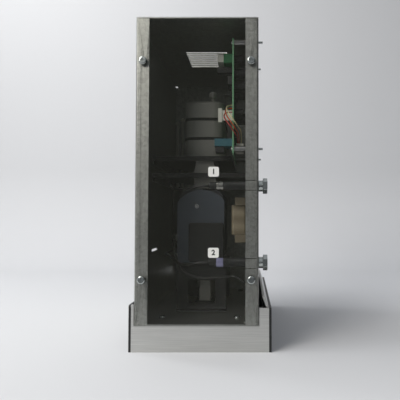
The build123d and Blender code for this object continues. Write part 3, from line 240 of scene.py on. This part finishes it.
finishes = {
    "galvanised_steel": galvanised_steel(),
    "brushed_stainless": brushed_stainless(),
    # Textured powder coat: black with a fine orange peel.
    "black_paint": mottled("black_powder_coat", "#151516", "#0e0e0f", 0.0, 0.5, 0.9, 0.04, 1.5),
    # Mill-finish aluminium: bright, with a light drawn haze.
    "aluminium": mottled("mill_aluminium", "#cfcfcc", "#b7b7b4", 1.0, 0.34, 1.2, 0.01),
    "smoked_acrylic": clear_acrylic(),
    # Bright zinc plate: silver with a slight blue-grey cast.
    "zinc_screw": mottled("zinc_plated_steel", "#c0c4c1", "#a3a9a6", 1.0, 0.2, 0.8, 0.005),
    # Ground and turned steel: clean mid grey.
    "bright_steel": mottled("turned_steel", "#b6b6b3", "#9c9c9a", 1.0, 0.26, 0.5, 0.005),
    # Nickel over brass: warm silver.
    "nickel_brass": mottled("nickel_plated_brass", "#b9b8b0", "#a2a19a", 1.0, 0.24, 0.6, 0.005),
    # Moulded ABS with spark-eroded grain: matt black.
    "black_plastic": mottled("black_abs", "#0c0d0e", "#070808", 0.0, 0.5, 0.6, 0.02, 1.5),
    # Moulded glass-filled nylon: very dark blue-grey, slightly satin.
    "dark_plastic": mottled("dark_glass_nylon", "#23262d", "#1a1c22", 0.0, 0.5, 0.5, 0.02, 1.53),
    # Moulded ABS in blue-grey.
    "blue_grey_plastic": mottled("blue_grey_abs", "#4a525c", "#414851", 0.0, 0.42, 0.6, 0.02, 1.5),
    # Moulded ABS in pale warm grey.
    "grey_plastic": mottled("warm_grey_abs", "#9b9a92", "#8c8b84", 0.0, 0.48, 0.6, 0.02, 1.5),
    # Rubber: matt and slightly dusty.
    "black_rubber": mottled("black_rubber", "#222221", "#171716", 0.0, 0.85, 0.7, 0.03, 1.52),
    # Soft PVC cable jacket: black with a satin gloss.
    "black_pvc": mottled("black_cable_jacket", "#141414", "#0e0e0e", 0.0, 0.4, 1.0, 0.01, 1.53),
    "wire_pvc": mottled("orange_wire_pvc", "#cc5a22", "#b94d1b", 0.0, 0.38, 1.0, 0.01, 1.53),
    "green_board": circuit_board(),
    # Moulded polyamide terminal housing: mid green.
    "terminal_green": mottled("terminal_green_nylon", "#2c8a52", "#247746", 0.0, 0.45, 0.6, 0.02, 1.53),
    # Unfilled nylon: milky off-white.
    "white_nylon": mottled("natural_nylon", "#eceadf", "#dddbd0", 0.0, 0.42, 0.6, 0.01, 1.53),
    # Relay case in glossy moulded polyester: blue.
    "relay_blue": mottled("blue_relay_case", "#3b707d", "#32636f", 0.0, 0.3, 1.4, 0.01, 1.55),
    # Epoxy packages: near black, matt.
    "black_component": mottled("black_epoxy", "#1c1c1f", "#131315", 0.0, 0.5, 0.4, 0.02, 1.5),
    # Turned aluminium spacer: light grey.
    "spacer_grey": mottled("turned_aluminium", "#bdbdba", "#a9a9a7", 1.0, 0.32, 0.5, 0.005),
    "transformer_tape": wound_tape(),
    "clear_lens": clear_lens(),
    # Self-adhesive paper: white, satin.
    "label_paper": mottled("label_paper", "#f0f0ec", "#e4e4df", 0.0, 0.55, 0.3, 0.005, 1.5),
}

for name, node in nodes.items():
    node.data.materials.clear()
    node.data.materials.append(finishes[slot_of[name]])


# ---- shown pieces -------------------------------------------------------------------
def show(name, mesh, node_names, material):
    """Puts a mesh on the body of the nodes that it stands for, in their finish."""
    piece = bpy.data.objects.new(name, mesh)
    bpy.context.scene.collection.objects.link(piece)
    mesh.materials.clear()
    mesh.materials.append(material)
    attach(piece, body_of[node_names[0]])
    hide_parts(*node_names)
    return piece


def join_split_edges(bm):
    """Closes a CAD mesh into solids and merges the flat triangles."""
    flat = math.radians(0.5)
    bmesh.ops.remove_doubles(bm, verts=bm.verts, dist=WELD)
    bmesh.ops.dissolve_limit(bm, angle_limit=flat, verts=bm.verts, edges=bm.edges)


def drop_other_solids(bm, keep):
    """Deletes each separate solid whose middle fails the keep test."""
    seen = set()
    unwanted = []
    for face in bm.faces:
        if face in seen:
            continue
        solid = [face]
        seen.add(face)
        for member in solid:
            for edge in member.edges:
                for other in edge.link_faces:
                    if other not in seen:
                        seen.add(other)
                        solid.append(other)
        corners = [v.co for member in solid for v in member.verts]
        middle = [(min(c[i] for c in corners) + max(c[i] for c in corners)) / 2 for i in range(3)]
        if not keep(Vector(middle)):
            unwanted += solid
    bmesh.ops.delete(bm, geom=unwanted, context="FACES")


def soften(name, node, edge_mm, keep=None, material=None):
    """A CAD node, or some of its solids, with its sharp edges rounded to a real edge radius."""
    bm = bmesh.new()
    bm.from_mesh(nodes[node].data)
    join_split_edges(bm)
    if keep:
        drop_other_solids(bm, keep)
    for face in bm.faces:
        face.smooth = True
    mesh = bpy.data.meshes.new(name)
    bm.to_mesh(mesh)
    bm.free()
    mesh.set_sharp_from_angle(angle=SHARP)
    slot = slot_of[node]
    piece = show(name, mesh, [node], material or finishes[slot])
    bevel = piece.modifiers.new("edges", "BEVEL")
    bevel.width = edge_mm * MM
    bevel.segments = 2
    bevel.limit_method = "ANGLE"
    bevel.angle_limit = SHARP
    bevel.harden_normals = True


def threaded_bar(bm, start, axis, length, radius, pitch, depth, sides=24):
    """Bar with a real V thread from start along the axis (0 for X, 2 for Z), ends tapered."""
    rows_per_turn = 4
    rows = int(length / pitch * rows_per_turn)
    step = length / rows
    rings = []
    for row in range(rows + 1):
        from_end = min(row, rows - row) / rows_per_turn
        ring = []
        for side in range(sides):
            turn = side / sides
            phase = (row / rows_per_turn - turn) % 1.0
            cut = depth * min(1.0, 2 * abs(phase - 0.5) + max(0.0, 1.0 - from_end))
            reach = radius - cut
            u = reach * math.cos(math.tau * turn)
            v = reach * math.sin(math.tau * turn)
            along = row * step
            spot = (along, u, v) if axis == 0 else (u, v, along)
            ring.append(bm.verts.new(Vector(start) + Vector(spot)))
        rings.append(ring)
    for first, second in zip(rings, rings[1:]):
        for side in range(sides):
            after = (side + 1) % sides
            bm.faces.new((first[side], first[after], second[after], second[side]))
    bm.faces.new(rings[0][::-1])
    bm.faces.new(rings[-1])


def hex_nut(bm, centre, across, height):
    """Hexagon nut lying flat, with both rims chamfered."""
    corner = across / 2 / math.cos(math.pi / 6)
    rim = across / 2
    levels = ((0.0, rim), (0.12 * height, corner), (0.88 * height, corner), (height, rim))
    rings = []
    for up, reach in levels:
        angles = [math.tau * i / 6 for i in range(6)]
        rings.append([bm.verts.new((centre[0] + reach * math.cos(a), centre[1] + reach * math.sin(a),
                                    centre[2] + up)) for a in angles])
    for first, second in zip(rings, rings[1:]):
        for i in range(6):
            after = (i + 1) % 6
            bm.faces.new((first[i], first[after], second[after], second[i]))
    bm.faces.new(rings[0][::-1])
    bm.faces.new(rings[-1])


def finish_mesh(bm, name):
    """Turns a bmesh into mesh data with its faces pointing outwards."""
    bmesh.ops.recalc_face_normals(bm, faces=bm.faces)
    mesh = bpy.data.meshes.new(name)
    bm.to_mesh(mesh)
    bm.free()
    return mesh


def flexible_lead(name, route_mm, radius_mm, node, material):
    """Round insulated lead on one smooth curve along its route."""
    curve = bpy.data.curves.new(name, "CURVE")
    curve.dimensions = "3D"
    curve.bevel_depth = radius_mm * MM
    curve.bevel_resolution = 3
    curve.use_fill_caps = True
    curve.resolution_u = 6
    spline = curve.splines.new("NURBS")
    spline.points.add(len(route_mm) - 1)
    for point, spot in zip(spline.points, route_mm):
        point.co = (*[c * MM for c in spot], 1.0)
    spline.order_u = 3
    spline.use_endpoint_u = True
    show(name, curve, [node], material)


# The three board wires, from the outer connector round the front edge of the board.
wire_routes = {
    "wire_orange": (
        (50.0, -108.0, 259.0), (50.0, -108.0, 265.0), (50.0, -122.0, 271.0), (47.0, -134.5, 274.0),
        (41.5, -138.5, 281.5), (35.5, -134.0, 290.5), (32.0, -122.0, 300.0), (34.5, -110.0, 306.5),
        (41.9, -110.0, 306.5)),
    "wire_cream": (
        (52.8, -104.0, 259.0), (52.8, -104.0, 266.0), (53.0, -121.0, 275.0), (49.0, -135.0, 278.5),
        (42.5, -139.5, 287.0), (36.5, -134.0, 296.0), (33.5, -121.0, 304.5), (35.5, -106.0, 311.5),
        (41.9, -106.0, 311.5)),
    "wire_red": (
        (48.2, -113.0, 259.0), (48.2, -113.0, 263.5), (47.6, -124.5, 267.5), (44.8, -134.5, 270.5),
        (39.5, -137.0, 278.0), (33.5, -132.5, 286.5), (30.0, -122.0, 294.5), (33.5, -112.5, 301.0),
        (41.9, -112.5, 301.0)),
}
wire_colours = {
    "wire_orange": finishes["wire_pvc"],
    # Soft PVC insulation, cream: satin.
    "wire_cream": mottled("cream_wire_pvc", "#e3d9a8", "#d4c997", 0.0, 0.38, 1.0, 0.01, 1.53),
    # Soft PVC insulation, red: satin.
    "wire_red": mottled("red_wire_pvc", "#b8322a", "#a42a22", 0.0, 0.38, 1.0, 0.01, 1.53),
}
for name, route in wire_routes.items():
    flexible_lead(name, route, WIRE_RADIUS_MM, "signal_wires", wire_colours[name])


def show_side_sensors():
    """Two threaded sensor barrels, each with a smooth rear ring of its own finish."""
    low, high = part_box("side_sensors")
    axis_y = (low.y + high.y) / 2
    radius = (high.y - low.y) / 2
    ring_length = 8.5 * MM
    ring_edge_mm = 0.6
    pitch = 1.0 * MM
    thread_depth = 0.5 * MM
    # Glass-filled PBT barrel: black, satin.
    barrel_finish = mottled("black_sensor_barrel", "#2b2c2d", "#202122", 0.0, 0.4, 0.6, 0.01, 1.55)
    # Translucent violet ring that carries the status light, unlit.
    violet = mottled("violet_ring", "#a09fc0", "#8e8db0", 0.0, 0.3, 0.8, 0.01, 1.5)
    for level, ring_finish in (("upper", finishes["nickel_brass"]), ("lower", violet)):
        z = high.z - radius if level == "upper" else low.z + radius
        start = (low.x + ring_length, axis_y, z)
        bm = bmesh.new()
        threaded_bar(bm, start, 0, high.x - start[0], radius, pitch, thread_depth, 32)
        show(level + "_sensor_barrel", finish_mesh(bm, level + "_sensor_barrel"), ["side_sensors"],
             barrel_finish)
        soften(level + "_sensor_ring", "side_sensors", ring_edge_mm,
               lambda c, z=z: abs(c.z - z) < radius and c.x < start[0], ring_finish)


def show_stay_rods():
    """Two M5 threaded rods with their nuts above both shelves and at the top.

    The pale, almost non-metallic colour is the zinc plating's grey with a painted highlight over it,
    standing in for the light the rods catch, so they stand out in the dark.
    """
    low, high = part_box("stay_rods")
    rod_r = 2.5 * MM
    nut_across = 8 * MM
    nut_h = 4 * MM
    nut_corner = nut_across / 2 / math.cos(math.pi / 6)
    nut_drop = 6 * MM
    pitch = 0.8 * MM
    thread_depth = 0.4 * MM
    rod_y = (low.y + high.y) / 2
    shelf_gap = 24 * MM
    upper_shelf_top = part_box("note_box")[0].z
    shelf_tops = (upper_shelf_top, upper_shelf_top - shelf_gap)
    bm = bmesh.new()
    for x, top in ((low.x + nut_corner, high.z - nut_drop), (high.x - nut_corner, high.z)):
        threaded_bar(bm, (x, rod_y, low.z), 2, top - low.z, rod_r, pitch, thread_depth, 16)
        for z in (*shelf_tops, top - nut_drop):
            hex_nut(bm, (x, rod_y, z), nut_across, nut_h)
    # Pale, almost non-metallic colour: painted highlight over the grey zinc, for the light the rods
    # catch.
    show("stay_rods_threaded", finish_mesh(bm, "stay_rods_threaded"), ["stay_rods"],
         mottled("zinc_rod_painted_highlight", "#e2e3d9", "#cfd0c6", 0.1, 0.5, 0.5, 0.005))


def show_transformer():
    """Laminated core and tape-wound coil as two pieces."""
    low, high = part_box("transformer")
    middle_x = (low.x + high.x) / 2
    soften("transformer_core", "transformer", 0.3, lambda c: c.x > middle_x, laminated_core())
    soften("transformer_winding", "transformer", 0.5, lambda c: c.x <= middle_x)


def show_label_numerals():
    """Plain position numerals on the two stickers."""
    low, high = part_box("window_labels")
    size = 8.5 * MM
    ink_spread = 0.3 * MM
    ink_depth = 0.03 * MM
    half_label = 6 * MM
    for text, z in (("1", high.z - half_label), ("2", low.z + half_label)):
        letters = bpy.data.curves.new("numeral_" + text, "FONT")
        letters.body = text
        letters.size = size
        letters.align_x = "CENTER"
        letters.align_y = "CENTER"
        letters.offset = ink_spread
        letters.extrude = ink_depth
        numeral = bpy.data.objects.new("numeral_" + text, letters)
        bpy.context.scene.collection.objects.link(numeral)
        letters.materials.append(finishes["black_component"])
        numeral.location = ((low.x + high.x) / 2, low.y - ink_depth, z)
        numeral.rotation_euler = (math.pi / 2, 0, 0)
        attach(numeral, "case")


def show_pressure_spring():
    """The coil behind the pressure plate (the real spring shortens as the plate moves back), shown
    fixed on a mesh of its own.
    """
    bm = bmesh.new()
    bm.from_mesh(nodes["pressure_spring"].data)
    bmesh.ops.remove_doubles(bm, verts=bm.verts, dist=WELD)
    for face in bm.faces:
        face.smooth = True
    slot = slot_of["pressure_spring"]
    coil = show("pressure_spring_coil", finish_mesh(bm, "pressure_spring_coil"),
                ["pressure_spring"], finishes[slot])
    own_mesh(coil)


show_side_sensors()
show_stay_rods()
show_pressure_spring()
show_transformer()
show_label_numerals()

# Real edge radii, in millimetres, on the moulded and cut pieces that show.
edge_radii = {
    "head_cover": 1.2,
    "head_frame": 0.6,
    "head_door": 0.5,
    "note_chute": 0.5,
    "terminal_block": 0.3,
    "white_headers": 0.3,
    "sensor_nuts": 0.5,
    "support_posts": 0.4,
    "bezel_side_plates": 0.5,
    "locating_strip": 0.4,
    "head_stand": 0.3,
    "board_parts": 0.25,
    "entry_guide": 0.4,
    "shutter_solenoid": 0.3,
}
for name, edge_mm in edge_radii.items():
    soften(name + "_edged", name, edge_mm)


# ---- studio -------------------------------------------------------------------------
def make_backdrop():
    """Pale table that curves up into a wall behind the object."""
    half_w = 1.6
    front = -0.5
    bend_y = 0.75
    bend_r = 0.35
    top = 1.9
    profile = [(front, 0.0)]
    steps = 16
    for i in range(steps + 1):
        angle = math.pi / 2 * i / steps
        profile.append((bend_y + bend_r * math.sin(angle), bend_r * (1 - math.cos(angle))))
    profile.append((bend_y + bend_r, top))
    points = [(x, y, z) for y, z in profile for x in (-half_w, half_w)]
    faces = [(i, i + 1, i + 3, i + 2) for i in range(0, len(points) - 2, 2)]
    mesh = bpy.data.meshes.new("backdrop")
    mesh.from_pydata(points, [], faces)
    for face in mesh.polygons:
        face.use_smooth = True
    backdrop = bpy.data.objects.new("backdrop", mesh)
    bpy.context.scene.collection.objects.link(backdrop)
    # Matt painted board: pale, slightly warm grey.
    mesh.materials.append(
        mottled("backdrop_board", "#d3d4d6", "#cfd0d2", 0.0, 0.9, 3.0, 0.02, 1.5))


def softbox(name, place_at, look_at, width, height, power, colour):
    """Rectangular soft light, all in metres and watts."""
    light = bpy.data.lights.new(name, "AREA")
    light.shape = "RECTANGLE"
    light.size = width
    light.size_y = height
    light.energy = power
    light.color = linear(colour)[:3]
    lamp = bpy.data.objects.new(name, light)
    lamp.location = place_at
    lamp.rotation_euler = (Vector(look_at) - Vector(place_at)).to_track_quat("-Z", "Y").to_euler()
    bpy.context.scene.collection.objects.link(lamp)


def make_world():
    """Even pale surroundings, brighter overhead and to the left."""
    world = bpy.data.worlds.new("studio")
    bpy.context.scene.world = world
    world.use_nodes = True
    tree = world.node_tree
    where = add(tree, "ShaderNodeTexCoord")
    height = add(tree, "ShaderNodeSeparateXYZ", {}, {"Vector": where.outputs["Generated"]})
    lean = add(tree, "ShaderNodeMath", {"operation": "MULTIPLY_ADD", 1: -0.7},
               {0: height.outputs["X"], 2: height.outputs["Z"]})
    rise = add(tree, "ShaderNodeMapRange", {"From Min": -0.3, "From Max": 0.8},
               {"Value": lean.outputs[0]})
    colour = two_tone(tree, rise.outputs[0], "#4a4c50", "#d2d5da")
    background = tree.nodes["Background"]
    background.inputs["Strength"].default_value = 0.75
    tree.links.new(colour, background.inputs["Color"])


def make_camera():
    """Low front view, set well back and looking slightly up."""
    lens_mm = 45.0
    sensor_mm = 36.0
    pitch_up = math.radians(2.19)
    camera = bpy.data.cameras.new("camera")
    camera.lens = lens_mm
    camera.sensor_width = sensor_mm
    camera.shift_x = -0.125
    stand = bpy.data.objects.new("camera", camera)
    window_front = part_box("window_cover")[0].y
    stand.location = (0.0645, window_front - 0.6025, 0.1601)
    stand.rotation_euler = (math.pi / 2 + pitch_up, 0, 0)
    bpy.context.scene.collection.objects.link(stand)
    bpy.context.scene.camera = stand


make_backdrop()
make_world()
softbox("overhead", (-0.9, -0.4, 1.6), (-0.1, 0, 0.1), 1.0, 1.0, 16, "#ffffff")
softbox("left_front", (-1.15, -1.75, 1.25), (0, 0, 0.25), 0.9, 0.8, 24, "#fffaf2")
softbox("wall_wash", (-0.9, 0.35, 1.5), (-0.5, 1.1, 0.4), 0.9, 0.3, 6, "#ffffff")
make_camera()
bpy.context.scene.view_settings.view_transform = "Standard"
